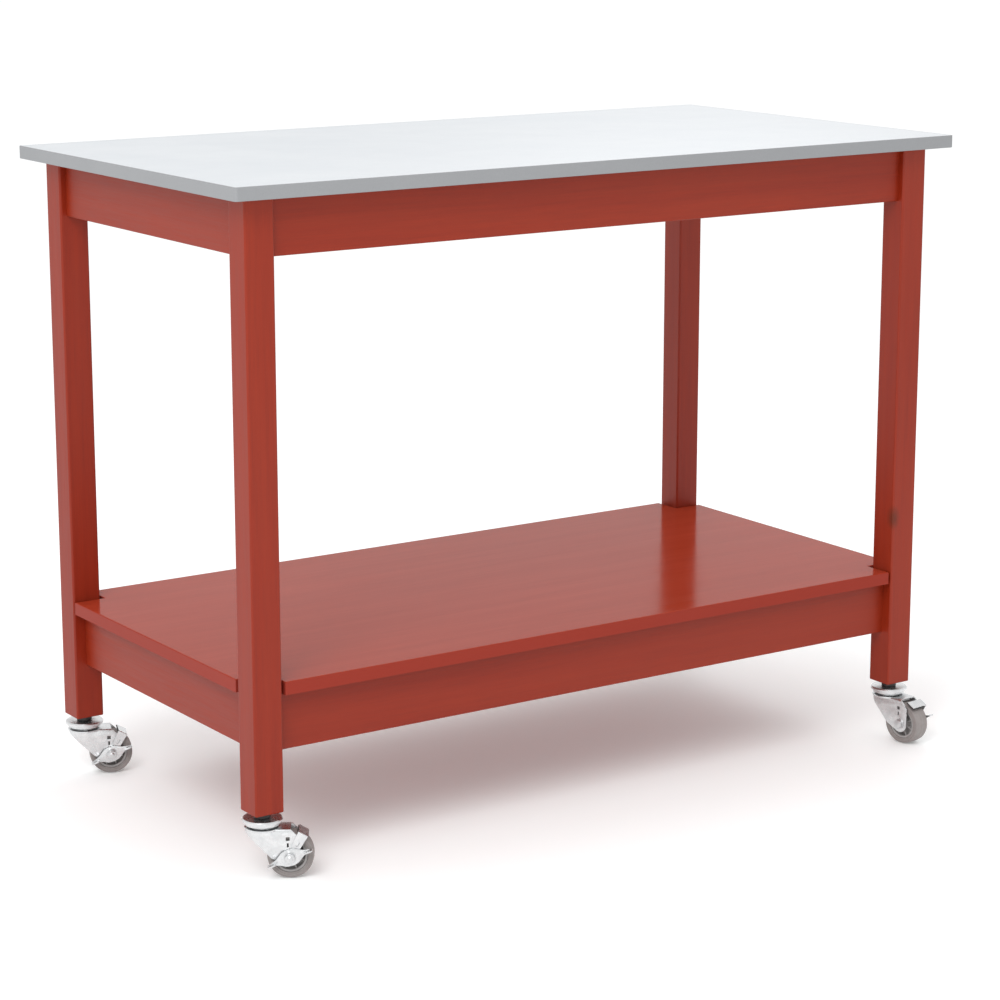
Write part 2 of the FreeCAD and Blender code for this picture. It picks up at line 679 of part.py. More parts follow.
def hexPrism(flats, height):
    # a six-sided block with its far corners turned off
    corner = flats / math.sqrt(3)
    angles = [math.radians(60 * i) for i in range(7)]
    ring = [Vector(corner * math.cos(angle), corner * math.sin(angle)) for angle in angles]
    prism = Part.Face(Part.makePolygon(ring)).extrude(Vector(0, 0, height))
    turned = corner * 0.93
    cone = Part.makeCone(turned + height * 1.1, turned, height * 1.1)
    cone.translate(Vector(0, 0, -height * 0.1))
    return prism.common(cone)


def axleFasteners(side):
    # bolt, nut and the lever's spacer, along Z with the lever side up
    half = size("forkWidth") / 2
    radius = size("axleRadius")
    nutBase = half + size("leverGap") + size("leverSheet") + size("nutGap")
    boltTop = nutBase + size("nutHeight") + size("boltEnd")
    head = hexPrism(size("nutFlats"), size("headHeight"))
    head.Placement = Placement(Vector(0, 0, -half), Rotation(xAxis, 180))
    bolt = head.fuse(Part.makeCylinder(radius, boltTop + half, Vector(0, 0, -half))).removeSplitter()
    bore = Part.makeCylinder(radius + size("runGap") / 3, size("forkWidth"))
    nut = hexPrism(size("nutFlats"), size("nutHeight")).cut(bore)
    nut.Placement = Placement(Vector(0, 0, nutBase), Rotation())
    spacer = Part.makeCylinder(size("spacerRadius"), size("spacerLength")).cut(bore)
    spacer.translate(Vector(0, 0, half))
    return Part.makeCompound([bolt, nut, spacer])


def makeStem():
    # threaded stem in the leg, kingpin below it, riveted under the fork's crown
    body = doc.addObject("PartDesign::Body", "stem_pattern")
    plateTop = "-dims.collarHeight"
    crownUnder = "-(dims.crownTop + dims.metal)"
    rivetTop = crownUnder + " - dims.nutGap"
    rivetLow = rivetTop + " - dims.rivetHeight"
    rivetEdge = ("dims.rivetRadius - 1", rivetLow + " + dims.nutGap")
    turn(body, "profile", (("0", "dims.stemLength"), ("dims.stemRadius - 1", "dims.stemLength"),
                           ("dims.stemRadius", "dims.stemLength - 1"), ("dims.stemRadius", plateTop),
                           ("dims.pinRadius", plateTop), ("dims.pinRadius", rivetTop),
                           ("dims.rivetRadius", rivetTop), rivetEdge, ("0", rivetLow)))
    return body


def makeCollar():
    body = doc.addObject("PartDesign::Body", "collar_pattern")
    outer = "dims.collarRadius"
    inner = "dims.stemRadius + dims.runGap"
    low = "-dims.collarHeight"
    soft = "dims.metal / 3"
    turn(body, "profile", ((inner, "0"), ("%s - %s" % (outer, soft), "0"), (outer, "-" + soft),
                           (outer, "%s + %s" % (low, soft)), ("%s - %s" % (outer, soft), low), (inner, low)))
    return body


stem = makeStem()
collar = makeCollar()
doc.recompute()
stems = []
collars = []
balls = []
for name, signX, signY, swivel, leverSide in corners:
    place = Placement(Vector(signX * legX, signY * legY, size("casterHeight")), Rotation(zAxis, swivel))
    across = place * axlePlace * Placement(Vector(), Rotation(xAxis, -90))
    makePlate("caster_plate_" + name).Placement = place
    makeFork("fork_" + name).Placement = place
    makeHub("wheel_hub_" + name).Placement = across
    makeTyre("tyre_" + name).Placement = across
    makeLever("brake_lever_" + name, leverSide).Placement = place * tilted["lever"]
    makeShoe("brake_shoe_" + name, leverSide).Placement = place * tilted["shoe"]
    makePad("brake_pad_" + name, leverSide).Placement = place * tilted["shoe"]
    bush = newBody("axle_bush_" + name)
    half = "(dims.forkWidth / 2 - dims.metal - dims.runGap / 2)"
    bore = "dims.axleRadius + dims.runGap"
    turn(bush, "tube", ((bore, "-" + half), ("dims.bushRadius", "-" + half),
                        ("dims.bushRadius", half), (bore, half)))
    bush.Placement = across
    fasteners = axleFasteners(leverSide)
    upward = Rotation(xAxis, 90 if leverSide < 0 else -90)
    outward = place * axlePlace * Placement(Vector(), upward)
    placed = [solid.transformed(outward.toMatrix()) for solid in fasteners.Solids]
    group("axle_fasteners_" + name, placed)
    stems.append(stem.Shape.transformed(place.toMatrix()))
    collars.append(collar.Shape.transformed(place.toMatrix()))
    for number in range(int(size("ballCount"))):
        angle = math.tau * number / size("ballCount")
        circleX = size("ballCircle") * math.cos(angle)
        circleY = size("ballCircle") * math.sin(angle)
        spot = Vector(circleX, circleY, -size("ballDrop"))
        balls.append(Part.makeSphere(size("ballRadius"), place.multVec(spot)))
group("caster_stems", stems)
group("stem_collars", collars)
group("swivel_balls", balls)

doc.recompute()
for item in doc.Objects:
    if "Invalid" in item.State or "Error" in item.State:
        raise RuntimeError("%s failed: %s" % (item.Name, item.State))
for item in parts + groups:
    if item.Shape.isNull() or not item.Shape.isValid() or not item.Shape.Solids:
        raise RuntimeError(item.Label + " has no valid solid")
os.makedirs("parts", exist_ok=True)
for item in parts + groups:
    item.Shape.exportStep("parts/%s.step" % item.Label)
print(len(parts + groups), "parts written")
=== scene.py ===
import bpy
import bmesh
import json
import math
from mathutils import Matrix, Vector


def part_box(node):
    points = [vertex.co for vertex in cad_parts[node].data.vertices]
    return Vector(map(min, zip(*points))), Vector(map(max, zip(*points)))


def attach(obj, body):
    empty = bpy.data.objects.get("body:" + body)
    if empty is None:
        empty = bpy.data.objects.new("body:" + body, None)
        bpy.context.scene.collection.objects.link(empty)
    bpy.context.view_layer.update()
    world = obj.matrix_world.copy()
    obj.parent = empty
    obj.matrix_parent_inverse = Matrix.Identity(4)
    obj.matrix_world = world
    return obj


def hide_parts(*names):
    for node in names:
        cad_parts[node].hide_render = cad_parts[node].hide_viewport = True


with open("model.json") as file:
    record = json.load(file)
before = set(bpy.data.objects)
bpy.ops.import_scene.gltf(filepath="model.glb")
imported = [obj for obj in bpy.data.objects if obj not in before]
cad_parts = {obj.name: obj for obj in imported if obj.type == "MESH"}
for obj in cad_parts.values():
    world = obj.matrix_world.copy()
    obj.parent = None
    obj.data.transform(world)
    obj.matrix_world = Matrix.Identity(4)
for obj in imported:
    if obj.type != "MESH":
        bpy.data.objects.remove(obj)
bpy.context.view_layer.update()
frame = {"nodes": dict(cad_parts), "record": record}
corners = ("front_left", "front_right", "rear_left", "rear_right")
joints = {joint["name"]: joint for joint in frame["record"]["behaviour"]["joints"]}
millimetre = 0.001
print("frame loaded with", len(frame["nodes"]), "nodes")


# Material helpers: a value goes to the socket or the setting of that name, and a socket links.
def addNode(tree, kind, **values):
    made = tree.nodes.new("ShaderNode" + kind)
    for name, value in values.items():
        socket = made.inputs.get(name.replace("_", " ")) if not hasattr(made, name) else None
        if socket is None and hasattr(made, name):
            setattr(made, name, value)
        elif isinstance(value, bpy.types.NodeSocket):
            tree.links.new(value, socket)
        else:
            socket.default_value = value
    return made


def newMaterial(name):
    material = bpy.data.materials.new(name)
    material.use_nodes = True
    tree = material.node_tree
    tree.nodes.clear()
    output = tree.nodes.new("ShaderNodeOutputMaterial")
    shader = tree.nodes.new("ShaderNodeBsdfPrincipled")
    tree.links.new(shader.outputs["BSDF"], output.inputs["Surface"])
    return material, tree, shader


def scaledPlace(tree, scale):
    place = addNode(tree, "TexCoord")
    mapping = addNode(tree, "Mapping", Vector=place.outputs["Object"])
    mapping.inputs["Scale"].default_value = scale
    return mapping.outputs["Vector"]


def noise(tree, scale, detail=3.0, roughness=0.55):
    # one number scales all three axes
    vector = scaledPlace(tree, scale if isinstance(scale, tuple) else (scale, scale, scale))
    made = addNode(tree, "TexNoise", Vector=vector, Scale=1.0, Detail=detail, Roughness=roughness)
    return made.outputs["Fac"]


def remap(tree, value, low, high, fromLow=0.3, fromHigh=0.7):
    made = addNode(tree, "MapRange")
    tree.links.new(value, made.inputs["Value"])
    made.inputs["From Min"].default_value = fromLow
    made.inputs["From Max"].default_value = fromHigh
    made.inputs["To Min"].default_value = low
    made.inputs["To Max"].default_value = high
    return made.outputs["Result"]


def mathNode(tree, operation, first, second=0.0, third=0.0):
    made = addNode(tree, "Math", operation=operation)
    for socket, value in zip(made.inputs, (first, second, third)):
        if isinstance(value, bpy.types.NodeSocket):
            tree.links.new(value, socket)
        else:
            socket.default_value = value
    return made.outputs[0]


def vectorNode(tree, operation, first, second=(0, 0, 0)):
    made = addNode(tree, "VectorMath", operation=operation)
    tree.links.new(first, made.inputs[0])
    made.inputs[1].default_value = second
    return made.outputs["Value" if operation == "LENGTH" else "Vector"]


def greyColour(tree, value):
    made = addNode(tree, "CombineColor")
    for socket in made.inputs[:3]:
        tree.links.new(value, socket)
    return made.outputs[0]


def mixColour(tree, amount, first, second, blend="MIX"):
    made = tree.nodes.new("ShaderNodeMix")
    made.data_type = "RGBA"
    made.blend_type = blend
    for socket, value in zip((made.inputs[0], made.inputs[6], made.inputs[7]), (amount, first, second)):
        if isinstance(value, bpy.types.NodeSocket):
            tree.links.new(value, socket)
        elif isinstance(value, tuple):
            socket.default_value = (*value, 1.0)
        else:
            socket.default_value = value
    return made.outputs[2]


def bump(tree, shader, height, strength, distance):
    made = addNode(tree, "Bump", Height=height, Strength=strength, Distance=distance)
    tree.links.new(made.outputs["Normal"], shader.inputs["Normal"])


# Red glaze over wood, with the grain along one axis; the patterns' scales are across and along the grain
redWood = {
    "glaze": (0.258, 0.019, 0.003),
    "glazeDark": (0.198, 0.010, 0.001),
    "glazeWorn": (0.290, 0.029, 0.008),
    "broad": (9, 1.3),
    "bands": (70, 2.4),
    "fibre": (420, 14),
    "pores": (900, 60),
    "darkBands": 0.6,
    "wornPatches": 0.40,
    "streaks": (0.92, 1.07),
    "poreShows": 0.30,
    "poreDepth": 0.00006,
    "rough": (0.37, 0.50),
    "specular": 0.31,
    "knot": (0.5295, -0.2870, 0.351),
    "knotColour": (0.100, 0.016, 0.003),
    "knotWide": 0.0084,
    "knotUneven": 0.004,
    "knotTall": 0.7,        # under one stretches it upwards
    "knotShows": 0.8,
}


def makeRedWood(name, axis, knot=False):
    look = redWood
    material, tree, shader = newMaterial(name)

    def grain(pattern, detail, roughness=0.55):
        across, lengthwise = look[pattern]
        return noise(tree, tuple(lengthwise if i == axis else across for i in range(3)), detail, roughness)

    broad = grain("broad", 2.0)
    bands = grain("bands", 5.0, 0.6)
    fibre = grain("fibre", 3.0, 0.7)
    pore = remap(tree, grain("pores", 1.0, 0.5), 1.0, 0.0, 0.22, 0.34)
    colour = mixColour(tree, remap(tree, bands, 0.0, look["darkBands"]), look["glaze"], look["glazeDark"])
    colour = mixColour(tree, remap(tree, broad, 0.0, look["wornPatches"]), colour, look["glazeWorn"])
    colour = mixColour(tree, 1.0, colour, greyColour(tree, remap(tree, fibre, *look["streaks"])), "MULTIPLY")
    colour = mixColour(tree, mathNode(tree, "MULTIPLY", pore, look["poreShows"]), colour, look["glazeDark"])
    if knot:
        offset = vectorNode(tree, "SUBTRACT", addNode(tree, "TexCoord").outputs["Object"], look["knot"])
        distance = vectorNode(tree, "LENGTH", vectorNode(tree, "MULTIPLY", offset, (1, 1, look["knotTall"])))
        uneven = mathNode(tree, "MULTIPLY_ADD", noise(tree, 160), look["knotUneven"], distance)
        core = remap(tree, uneven, look["knotShows"], 0.0, look["knotWide"] * 0.7, look["knotWide"] * 2.0)
        colour = mixColour(tree, core, colour, look["knotColour"])
    tree.links.new(colour, shader.inputs["Base Color"])
    tree.links.new(remap(tree, fibre, *look["rough"]), shader.inputs["Roughness"])
    shader.inputs["Specular IOR Level"].default_value = look["specular"]
    raised = mathNode(tree, "ADD", fibre, mathNode(tree, "MULTIPLY", bands, 0.7))
    bump(tree, shader, mathNode(tree, "MULTIPLY_ADD", pore, -0.6, raised), 0.35, look["poreDepth"])
    return material


# The shelf is the same glaze under a flatter, glossier lacquer, with its grain along X
shelfLacquer = {
    "glaze": (0.368, 0.042, 0.018),
    "glazeDark": (0.315, 0.031, 0.012),
    # painted shade: the darker red painted on the shelf's upright sides
    "edge": (0.277, 0.036, 0.023),
    "broad": (1.6, 5, 5),
    "bands": (2.0, 42, 42),
    "fibre": (12, 360, 360),
    "sheen": (9, 30, 30),
    "darkBands": 0.7,
    "wornPatches": 0.25,
    "streaks": (0.93, 1.05),
    "rough": (0.11, 0.20),
    "specular": 0.055,
    "ripple": 0.000012,
}


def makeShelfLacquer():
    look = shelfLacquer
    material, tree, shader = newMaterial("shelfRed")
    bands = noise(tree, look["bands"], 5.0, 0.6)
    fibre = noise(tree, look["fibre"], 3.0, 0.7)
    broad = noise(tree, look["broad"], 2.0)
    colour = mixColour(tree, remap(tree, bands, 0.0, look["darkBands"]), look["glaze"], look["glazeDark"])
    colour = mixColour(tree, remap(tree, broad, 0.0, look["wornPatches"]), colour, redWood["glazeWorn"])
    colour = mixColour(tree, 1.0, colour, greyColour(tree, remap(tree, fibre, *look["streaks"])), "MULTIPLY")
    # painted light: the board's sides get a darker, plainer red than its top, picked by which way each face
    # points, so the top carries painted sheen and the sides painted shade
    paintedLightFacing = addNode(tree, "SeparateXYZ", Vector=addNode(tree, "NewGeometry").outputs["Normal"])
    colour = mixColour(tree, remap(tree, paintedLightFacing.outputs["Z"], 0.0, 1.0, 0.5, 0.9), look["edge"], colour)
    tree.links.new(colour, shader.inputs["Base Color"])
    tree.links.new(remap(tree, noise(tree, look["sheen"], 4.0), *look["rough"]), shader.inputs["Roughness"])
    shader.inputs["Specular IOR Level"].default_value = look["specular"]
    ripple = mathNode(tree, "ADD", fibre, mathNode(tree, "MULTIPLY", noise(tree, 60, 2.0), 1.5))
    bump(tree, shader, ripple, 0.18, look["ripple"])
    return material


# Pale laminate with its pressed pearl texture, and the edge band
laminate = {"colour": (0.598, 0.625, 0.652), "fleck": (0.562, 0.592, 0.622), "rough": (0.30, 0.40)}
edgeBand = {"colour": (0.275, 0.280, 0.290), "fleck": (0.245, 0.250, 0.260), "rough": (0.38, 0.48)}
sheetPattern = {"grain": 520, "cloud": 7, "pearl": 210, "flecks": 0.55, "clouds": 0.35, "depth": 0.00003}


def makeSheet(name, look):
    material, tree, shader = newMaterial(name)
    grainy = noise(tree, sheetPattern["grain"], 2.0)
    cloudy = noise(tree, sheetPattern["cloud"])
    pearl = noise(tree, sheetPattern["pearl"], 2.0)
    colour = mixColour(tree, remap(tree, grainy, 0.0, sheetPattern["flecks"]), look["colour"], look["fleck"])
    colour = mixColour(tree, remap(tree, cloudy, 0.0, sheetPattern["clouds"]), colour, look["fleck"])
    tree.links.new(colour, shader.inputs["Base Color"])
    tree.links.new(remap(tree, cloudy, *look["rough"]), shader.inputs["Roughness"])
    bump(tree, shader, mathNode(tree, "ADD", grainy, pearl), 0.3, sheetPattern["depth"])
    return material


# Bright zinc on pressed steel, and the turned steel of bolts and stems
zinc = {"bright": (0.77, 0.775, 0.78), "dull": (0.60, 0.61, 0.62), "rough": (0.20, 0.35), "spangle": 90}
turned = {"bright": (0.74, 0.745, 0.75), "dull": (0.52, 0.53, 0.54), "rough": (0.27, 0.42), "spangle": 140}
metalPattern = {"scratches": (260, 1900, 1900), "scratchRough": (-0.04, 0.06), "dullPatches": 0.8,
                "mottle": 0.22, "depth": 0.00003}


def makeMetal(name, look):
    material, tree, shader = newMaterial(name)
    cell = look["spangle"] * 3
    patches = noise(tree, look["spangle"])
    scratches = noise(tree, metalPattern["scratches"], 2.0)
    mottled = addNode(tree, "TexVoronoi", Vector=scaledPlace(tree, (cell, cell, cell))).outputs["Distance"]
    dull = remap(tree, patches, 0.0, metalPattern["dullPatches"])
    colour = mixColour(tree, dull, look["bright"], look["dull"])
    colour = mixColour(tree, mathNode(tree, "MULTIPLY", mottled, metalPattern["mottle"]), colour, look["dull"])
    tree.links.new(colour, shader.inputs["Base Color"])
    shader.inputs["Metallic"].default_value = 1.0
    rough = mathNode(tree, "ADD", remap(tree, patches, *look["rough"]),
                     remap(tree, scratches, *metalPattern["scratchRough"]))
    tree.links.new(rough, shader.inputs["Roughness"])
    raised = mathNode(tree, "ADD", scratches, mathNode(tree, "MULTIPLY", patches, 2.0))
    bump(tree, shader, raised, 0.25, metalPattern["depth"])
    return material


# Rubber and moulded plastics
greyRubber = {"colour": (0.235, 0.205, 0.198), "dust": (0.31, 0.285, 0.275), "rough": (0.56, 0.72)}
blackRubber = {"colour": (0.018, 0.018, 0.018), "dust": (0.045, 0.044, 0.043), "rough": (0.54, 0.70)}
hubPlastic = {"colour": (0.30, 0.285, 0.28), "dust": (0.36, 0.345, 0.34), "rough": (0.39, 0.55)}
blackPlastic = {"colour": (0.022, 0.022, 0.023), "dust": (0.05, 0.05, 0.05), "rough": (0.34, 0.50)}
mouldedPattern = {"dust": 60, "grain": 1500, "dusty": 0.8, "grainy": 0.15, "depth": 0.00004}


def makeMoulded(name, look):
    material, tree, shader = newMaterial(name)
    dust = noise(tree, mouldedPattern["dust"], 4.0, 0.65)
    grain = noise(tree, mouldedPattern["grain"], 2.0)
    colour = mixColour(tree, remap(tree, dust, 0.0, mouldedPattern["dusty"]), look["colour"], look["dust"])
    colour = mixColour(tree, remap(tree, grain, 0.0, mouldedPattern["grainy"]), colour, look["dust"])
    tree.links.new(colour, shader.inputs["Base Color"])
    tree.links.new(remap(tree, dust, *look["rough"]), shader.inputs["Roughness"])
    bump(tree, shader, grain, 0.3, mouldedPattern["depth"])
    return material


# Raw particle board inside the worktop
particleBoard = {"chip": (0.60, 0.45, 0.29), "dark": (0.38, 0.25, 0.14), "rough": (0.80, 0.95),
                 "chips": (420, 420, 900), "depth": 0.0002}


def makeParticleBoard():
    look = particleBoard
    material, tree, shader = newMaterial("particleBoard")
    chips = addNode(tree, "TexVoronoi", Vector=scaledPlace(tree, look["chips"])).outputs["Distance"]
    tree.links.new(mixColour(tree, chips, look["chip"], look["dark"]), shader.inputs["Base Color"])
    tree.links.new(remap(tree, chips, *look["rough"], 0, 1), shader.inputs["Roughness"])
    bump(tree, shader, chips, 0.4, look["depth"])
    return material


materials = {
    "woodX": makeRedWood("redWoodX", 0),
    "woodY": makeRedWood("redWoodY", 1),
    "woodZ": makeRedWood("redWoodZ", 2),
    "knotted": makeRedWood("redWoodKnot", 2, knot=True),
    "shelf": makeShelfLacquer(),
    "laminate": makeSheet("paleLaminate", laminate),
    "edge": makeSheet("greyEdgeBand", edgeBand),
    "zinc": makeMetal("brightZinc", zinc),
    "steel": makeMetal("turnedSteel", turned),
    "tyre": makeMoulded("greyRubber", greyRubber),
    "pad": makeMoulded("blackRubber", blackRubber),
    "hub": makeMoulded("hubPlastic", hubPlastic),
    "collar": makeMoulded("blackPlastic", blackPlastic),
    "core": makeParticleBoard(),
}
print("materials made:", len(materials))


# Piece helpers: lengths in millimetres in the caster's own frame, where Z is the swivel axis, the leg ends on
# z = 0 and the wheel trails along +X
def casterPlace(name):
    pivot = Vector(joints["swivel_" + name]["pos_m"])
    axle = Vector(joints["wheel_spin_" + name]["pos_m"])
    across = Vector(joints["wheel_spin_" + name]["axis"])
    trailing = Vector((axle.x - pivot.x, axle.y - pivot.y, 0)).normalized()
    origin = Vector((pivot.x, pivot.y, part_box("leg_" + name)[0][2]))
    turn = Matrix((trailing, across, Vector((0, 0, 1)))).transposed().to_4x4()
    local = Matrix.Translation(origin) @ turn @ Matrix.Scale(millimetre, 4)
    drop = turn.inverted() @ (axle - origin) / millimetre
    return local, local @ Matrix.Translation(drop)


def finishPiece(bm, name, place, look, body, replaced):
    # edges that turn by less than 35 degrees are shaded smooth
    bmesh.ops.remove_doubles(bm, verts=bm.verts, dist=0.001)
    bmesh.ops.transform(bm, matrix=place, verts=bm.verts)
    bmesh.ops.recalc_face_normals(bm, faces=bm.faces)
    limit = math.radians(35)
    for face in bm.faces:
        face.smooth = True
    for edge in bm.edges:
        edge.smooth = len(edge.link_faces) == 2 and edge.calc_face_angle(0) < limit
    mesh = bpy.data.meshes.new(name)
    bm.to_mesh(mesh)
    bm.free()
    mesh.materials.append(materials[look])
    piece = bpy.data.objects.new(name, mesh)
    bpy.context.scene.collection.objects.link(piece)
    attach(piece, body)
    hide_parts(replaced)


def spinRound(bm, profile, steps, upright=False, closed=True):
    # pairs of (radius, place along the axis), spun a full turn about Z if upright and about Y if not
    places = [(radius, 0, height) if upright else (radius, height, 0) for radius, height in profile]
    points = [bm.verts.new(place) for place in places]
    pairs = zip(points, points[1:] + points[:1] if closed else points[1:])
    edges = [bm.edges.new(pair) for pair in pairs]
    bmesh.ops.spin(bm, geom=points + edges, cent=(0, 0, 0), axis=(0, 0, 1) if upright else (0, 1, 0),
                   angle=math.tau, steps=steps, use_merge=True)


def unique(parts):
    # each part once, in its first order, so that every run builds the same mesh
    return list(dict.fromkeys(parts))


def mirrored(half):
    return list(half) + [(radius, -height) for radius, height in reversed(half) if height]


def bevelled(bm, edges, offset, segments=2):
    return bmesh.ops.bevel(bm, geom=edges, offset=offset, segments=segments, profile=0.5, affect="EDGES",
                           material=-1)


def bevelEdges(bm, chosen, offset, segments=2):
    bevelled(bm, [edge for edge in bm.edges if chosen(edge)], offset, segments)


def addBlock(bm, size, centre):
    # the start of a fork, rib, tab or pad, before it is cut or its edges are rounded
    block = bmesh.ops.create_cube(bm, size=1)["verts"]
    bmesh.ops.scale(bm, vec=size, verts=block)
    bmesh.ops.translate(bm, vec=centre, verts=block)
    return block


tyreShape = {
    "rim": 23.05, "radius": 31.48, "half": 13.0, "steps": 96,
    "grooves": (25.4, 28.4), "grooveHalf": (0.75, 0.45), "grooveDeep": 0.55,
    # out from the rim and in from the side; in from the tread and the side; in from the tread, off the middle
    "bead": ((0, 1.2), (0.5, 0.35), (1.2, 0)),
    "shoulder": ((1.9, 0), (1.1, 0.5), (0.7, 1.6), (0.35, 4.0), (0.12, 8.0)),
    "seam": ((0.12, 0.5), (0, 0.28)),
}


def makeTyre(name, place):
    look = tyreShape
    half, radius, floor = look["half"], look["radius"], look["half"] - look["grooveDeep"]
    wide, narrow = look["grooveHalf"]
    side = [(look["rim"] + out, half - inward) for out, inward in look["bead"]]
    for groove in look["grooves"]:
        side += [(groove - wide, half), (groove - narrow, floor)]
        side += [(groove + narrow, floor), (groove + wide, half)]
    side += [(radius - low, half - inward) for low, inward in look["shoulder"]]
    side += [(radius - low, off) for low, off in look["seam"]]
    bm = bmesh.new()
    spinRound(bm, mirrored(side), look["steps"])
    finishPiece(bm, "tyreTread_" + name, place, "tyre", "wheel_" + name, "tyre_" + name)


# bore, boss, web and rim in turn, as (radius, place along the axle) on one side
hubShape = {
    "half": ((6.06, 13.0), (6.56, 13.5), (9.7, 13.5), (10.4, 12.8), (10.9, 3.9), (12.0, 2.6), (18.2, 2.6),
             (19.3, 3.7), (19.8, 10.9), (20.3, 11.4), (22.6, 11.4), (23.0, 11.0)),
    "steps": 72, "ribs": 8, "ribSize": (9.6, 18.4, 1.7), "ribAway": 15.2, "ribRound": 0.3,
}


def makeHub(name, place):
    look = hubShape
    bm = bmesh.new()
    spinRound(bm, mirrored(look["half"]), look["steps"])
    for index in range(look["ribs"]):
        rib = addBlock(bm, look["ribSize"], (look["ribAway"], 0, 0))
        turn = Matrix.Rotation(math.tau * (index + 0.5) / look["ribs"], 3, "Y")
        bmesh.ops.rotate(bm, cent=(0, 0, 0), matrix=turn, verts=rib)
        bevelled(bm, unique(edge for vert in rib for edge in vert.link_edges), look["ribRound"])
    finishPiece(bm, "hubSpokes_" + name, place, "hub", "wheel_" + name, "wheel_hub_" + name)


def leverSide(name):
    # the lever stands on this side of its wheel, along the axle
    low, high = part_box("brake_lever_" + name)
    middle = (Vector(low) + Vector(high)) / 2
    joint = joints["wheel_spin_" + name]
    return 1 if (middle - Vector(joint["pos_m"])).dot(Vector(joint["axis"])) > 0 else -1


def along(edge, axis):
    way = edge.verts[1].co - edge.verts[0].co
    return way.length > 1e-6 and abs(way.normalized()[axis]) > 0.999


def cutAway(bm, point, normal, faces=None, clear=True):
    chosen = faces if faces is not None else bm.faces[:]
    geom = unique(part for face in chosen for part in (*face.verts, *face.edges)) + list(chosen)
    bmesh.ops.bisect_plane(bm, geom=geom, dist=0.0001, plane_co=point, plane_no=normal, clear_outer=clear)


forkShape = {
    "front": -23.0, "rear": 50.0, "top": -20.5, "low": -76.0, "half": 16.5, "sheet": 2.4,
    "nose": 12.5, "shoulder": 2.4, "rimRound": 0.35,
    # a point on each cut and the way out of the metal: in front, underneath, then behind the top
    "slopes": (((-23.0, 0, -25.5), (-0.712, 0, -0.702)), ((12.0, 0, -61.0), (-0.43, 0, -0.903))),
    "corner": ((38.0, 0, -20.5), (0.7071, 0, 0.7071)),
    "axle": (37.0, -58.5), "boss": 13.0, "bossTurns": range(-105, 1, 15),
    "windows": ((31.5, 36.5, -36.5, -31.5), (32.8, 35.2, -45.5, -40.0)),
    "crown": ((5.1, -20.5), (14, -20.5), (14, -15), (16.8, -15), (16.8, -20.4), (23.4, -20.4), (24.2, -20.8),
              (24.5, -21.6), (24.5, -22.4), (24.2, -23.2), (5.1, -23.2)),
    "steps": 72,
}


def makeFork(name, place):
    look = forkShape
    front, rear, top, low, half = (look[key] for key in ("front", "rear", "top", "low", "half"))
    bm = bmesh.new()
    addBlock(bm, (rear - front, 2 * half, top - low), ((rear + front) / 2, 0, (top + low) / 2))
    bevelEdges(bm, lambda edge: along(edge, 2) and edge.verts[0].co.x < 0, look["nose"], 9)
    openSides = [face for face in bm.faces if face.normal.z < -0.9 or face.normal.x > 0.9]
    bmesh.ops.delete(bm, geom=openSides, context="FACES")
    bevelEdges(bm, lambda edge: len(edge.link_faces) == 2
               and all(abs(vert.co.z - top) < 0.01 for vert in edge.verts), look["shoulder"], 4)
    for point, normal in look["slopes"]:
        cutAway(bm, point, normal)
    axleX, axleZ = look["axle"]
    for degrees in look["bossTurns"]:
        outX, outZ = math.cos(math.radians(degrees)), math.sin(math.radians(degrees))
        cutAway(bm, (axleX + look["boss"] * outX, 0, axleZ + look["boss"] * outZ), (outX, 0, outZ))
    cutAway(bm, *look["corner"])
    for left, right, bottom, high in look["windows"]:
        for point, normal in (((left, 0, 0), (1, 0, 0)), ((right, 0, 0), (1, 0, 0)),
                              ((0, 0, bottom), (0, 0, 1)), ((0, 0, high), (0, 0, 1))):
            cutAway(bm, point, normal, [face for face in bm.faces if abs(face.normal.y) > 0.999], clear=False)
        middles = ((face, face.calc_center_median()) for face in bm.faces if abs(face.normal.y) > 0.999)
        gone = [face for face, middle in middles if left < middle.x < right and bottom < middle.z < high]
        bmesh.ops.delete(bm, geom=gone, context="FACES")
    bmesh.ops.dissolve_limit(bm, angle_limit=0.001, verts=bm.verts, edges=bm.edges)
    bmesh.ops.recalc_face_normals(bm, faces=bm.faces)
    bmesh.ops.solidify(bm, geom=bm.faces[:], thickness=look["sheet"])
    sharp = math.radians(60)
    bevelEdges(bm, lambda edge: len(edge.link_faces) == 2 and edge.calc_face_angle(0) > sharp, look["rimRound"])
    spinRound(bm, look["crown"], look["steps"], upright=True)
    finishPiece(bm, "pressedFork_" + name, place, "zinc", "swivel_" + name, "fork_" + name)


leverShape = {
    "tilt": 22, "inner": 18.8, "sheet": 2.0,
    "corners": ((30.0, 1.0), (18.6, 4.0), (7.7, 11.0)),     # a quarter of the plate's outline
    "cornerRound": 3.0, "rimRound": 0.45,
    "tabSize": (12.0, 11.0, 2.0), "tabAway": 26.0, "tabRound": 3.0, "tabRim": 0.4,
    "ridgeRadius": 0.7, "ridgeLong": 6.5, "ridgePitch": 2.8, "ridgeAside": 6.1, "ridgeLift": 0.7,
    "boss": ((4.1, 0), (8.6, 0), (8.9, 0.3), (8.9, 2.2), (8.3, 2.5), (4.1, 2.5)),
}


